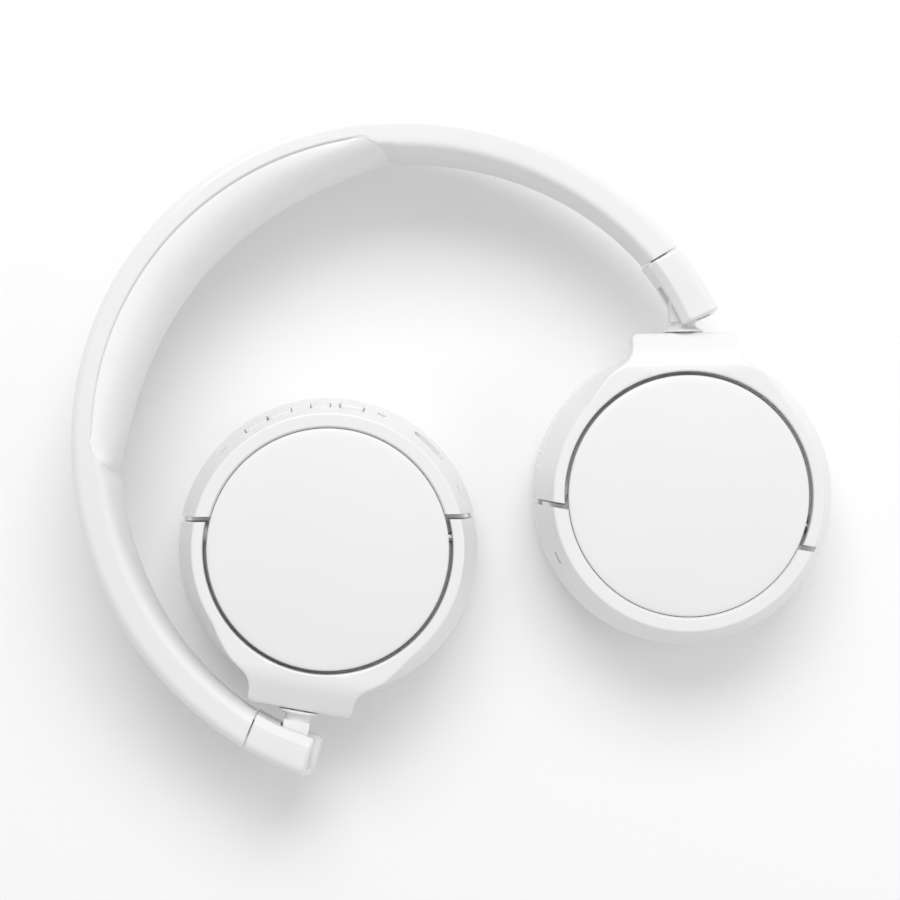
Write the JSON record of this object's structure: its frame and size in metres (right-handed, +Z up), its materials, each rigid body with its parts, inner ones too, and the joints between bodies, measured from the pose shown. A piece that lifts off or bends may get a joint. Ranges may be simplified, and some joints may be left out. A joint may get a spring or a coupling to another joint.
{
  "type": "headphones",
  "caption": "Foldable wireless headphones with round cushioned ear cups on folding, swivelling yokes and a padded adjustable headband.",
  "frame": {"origin": "middle of the footprint, on the surface that the ear cushions lie on", "axes": "+Z up through the ear cups' caps, +Y towards the headband's crown, +X towards the right slider"},
  "size_m": [0.1648, 0.179, 0.0395],
  "materials": {
    "white_shell": "glossy white moulding",
    "white_satin": "satin white moulding",
    "white_leatherette": "soft white leatherette",
    "steel": "bright steel",
    "dark_plastic": "dark grey moulding",
    "black_cloth": "black acoustic cloth",
    "circuit_board": "green laminate",
    "battery_foil": "grey foil wrap",
    "driver_film": "clear-grey film",
    "lamp_lens": "clear lens"
  },
  "bodies": {
    "headband": {"headband_shell": "white_shell", "headband_liner": "white_satin", "headband_cushion": "white_leatherette", "headband_spring_strip": "steel", "left_slider_guide": "white_satin", "right_slider_guide": "white_satin"},
    "left_slider": {"left_slider_strip": "steel", "left_slider_end": "white_shell", "left_hinge_pin": "steel"},
    "left_stem": {"left_hinge_stem": "white_shell", "left_swivel_post": "steel", "left_swivel_clip": "steel"},
    "left_yoke": {"left_yoke": "white_shell", "left_pivot_pin_near": "steel", "left_pivot_pin_far": "steel"},
    "left_cup": {"left_cup_housing": "white_shell", "left_outer_cap": "white_satin", "left_baffle": "white_satin", "left_baffle_screw_a": "steel", "left_baffle_screw_b": "steel", "left_driver_frame": "dark_plastic", "left_driver_magnet": "steel", "left_driver_diaphragm": "driver_film", "left_driver_cloth": "black_cloth", "left_ear_pad_ring": "white_satin", "left_ear_pad": "white_leatherette", "left_charge_socket": "steel", "left_status_lamp": "lamp_lens", "left_microphone_mesh_a": "dark_plastic", "left_microphone_mesh_b": "dark_plastic", "left_button_board": "circuit_board", "left_main_board": "circuit_board"},
    "right_slider": {"right_slider_strip": "steel", "right_slider_end": "white_shell", "right_hinge_pin": "steel"},
    "right_stem": {"right_hinge_stem": "white_shell", "right_swivel_post": "steel", "right_swivel_clip": "steel"},
    "right_yoke": {"right_yoke": "white_shell", "right_pivot_pin_near": "steel", "right_pivot_pin_far": "steel"},
    "right_cup": {"right_cup_housing": "white_shell", "right_outer_cap": "white_satin", "right_baffle": "white_satin", "right_baffle_screw_a": "steel", "right_baffle_screw_b": "steel", "right_driver_frame": "dark_plastic", "right_driver_magnet": "steel", "right_driver_diaphragm": "driver_film", "right_driver_cloth": "black_cloth", "right_ear_pad_ring": "white_satin", "right_ear_pad": "white_leatherette", "right_microphone_mesh": "dark_plastic", "right_battery": "battery_foil"},
    "volume_up_button_body": {"left_volume_up_button": "white_satin"},
    "volume_down_button_body": {"left_volume_down_button": "white_satin"},
    "power_button_body": {"left_power_button": "white_satin"},
    "play_button_body": {"left_play_button": "white_satin"}
  },
  "joints": [
    {"name": "left_slider_extend", "type": "slide", "parent": "headband", "child": "left_slider", "axis": [0.068, -0.9977, 0], "range_m": [0, 0.02]},
    {"name": "left_fold", "type": "hinge", "parent": "left_slider", "child": "left_stem", "pos_m": [-0.07334, -0.01888, 0.022], "axis": [0, 0, -1], "range_deg": [0, 105.3]},
    {"name": "left_swivel", "type": "hinge", "parent": "left_stem", "child": "left_yoke", "pos_m": [-0.062, -0.01212, 0.022], "axis": [0.859, 0.512, 0], "range_deg": [0, 90]},
    {"name": "left_cup_tilt", "type": "hinge", "parent": "left_yoke", "child": "left_cup", "pos_m": [-0.02822, 0.00802, 0.024], "axis": [-0.6428, 0.766, 0], "range_deg": [-4, 4]},
    {"name": "right_slider_extend", "type": "slide", "parent": "headband", "child": "right_slider", "axis": [-0.068, -0.9977, 0], "range_m": [0, 0.02]},
    {"name": "right_fold", "type": "hinge", "parent": "right_slider", "child": "right_stem", "pos_m": [0.07334, -0.01888, 0.022], "axis": [0, 0, 1], "range_deg": [0, 32.5]},
    {"name": "right_swivel", "type": "hinge", "parent": "right_stem", "child": "right_yoke", "pos_m": [0.06353, -0.02771, 0.022], "axis": [0.7431, 0.6691, 0], "range_deg": [0, 90]},
    {"name": "right_cup_tilt", "type": "hinge", "parent": "right_yoke", "child": "right_cup", "pos_m": [0.0343, -0.05403, 0.024], "axis": [0.5417, -0.8406, 0], "range_deg": [-4, 4]},
    {"name": "volume_up_press", "type": "slide", "parent": "left_cup", "child": "volume_up_button_body", "axis": [-0.3223, -0.9466, 0], "range_m": [0, 0.0005], "stiffness_N_per_m": 800, "springref_m": -0.0003},
    {"name": "volume_down_press", "type": "slide", "parent": "left_cup", "child": "volume_down_button_body", "axis": [-0.4879, -0.8729, 0], "range_m": [0, 0.0005], "stiffness_N_per_m": 800, "springref_m": -0.0003},
    {"name": "power_press", "type": "slide", "parent": "left_cup", "child": "power_button_body", "axis": [-0.7187, -0.6953, 0], "range_m": [0, 0.0005], "stiffness_N_per_m": 800, "springref_m": -0.0003},
    {"name": "play_press", "type": "slide", "parent": "left_cup", "child": "play_button_body", "axis": [-0.8531, -0.5218, 0], "range_m": [0, 0.0005], "stiffness_N_per_m": 800, "springref_m": -0.0003}
  ],
  "couplings": [
    {"joint": "right_fold", "follows": "left_fold", "ratio": 0.30864}
  ]
}
